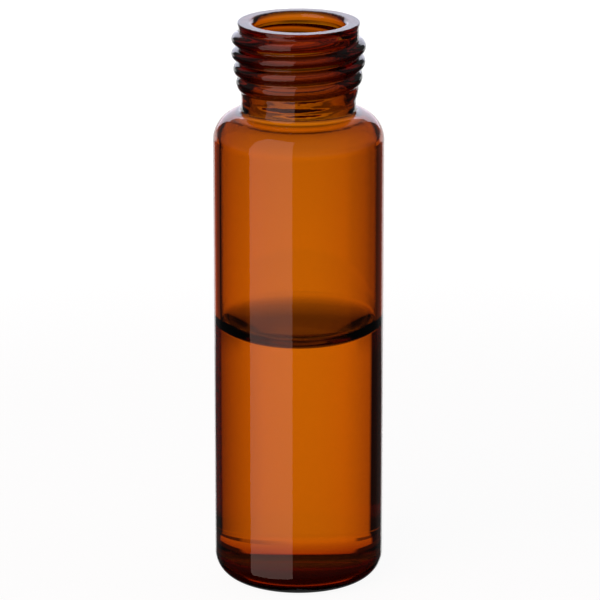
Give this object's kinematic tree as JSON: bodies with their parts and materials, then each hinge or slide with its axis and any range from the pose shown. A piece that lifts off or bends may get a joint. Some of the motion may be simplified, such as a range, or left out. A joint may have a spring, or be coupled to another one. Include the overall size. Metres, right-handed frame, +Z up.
{
  "type": "glass sample vial",
  "caption": "Open cylindrical vial of amber glass with a screw-threaded neck and a broad flat rim, partly filled with a clear liquid.",
  "frame": {"origin": "on the vial's axis, at the level of the flat ring that it stands on", "axes": "+Z up the axis, from the base to the mouth; -Y is the side that faces the viewer"},
  "size_m": [0.0225, 0.0224, 0.076],
  "materials": {
    "amber_glass": "clear amber, fire-polished",
    "clear_liquid": "clear colourless liquid"
  },
  "bodies": {
    "root": {"glass_vial": "amber_glass", "sample_liquid": "clear_liquid"}
  },
  "joints": []
}
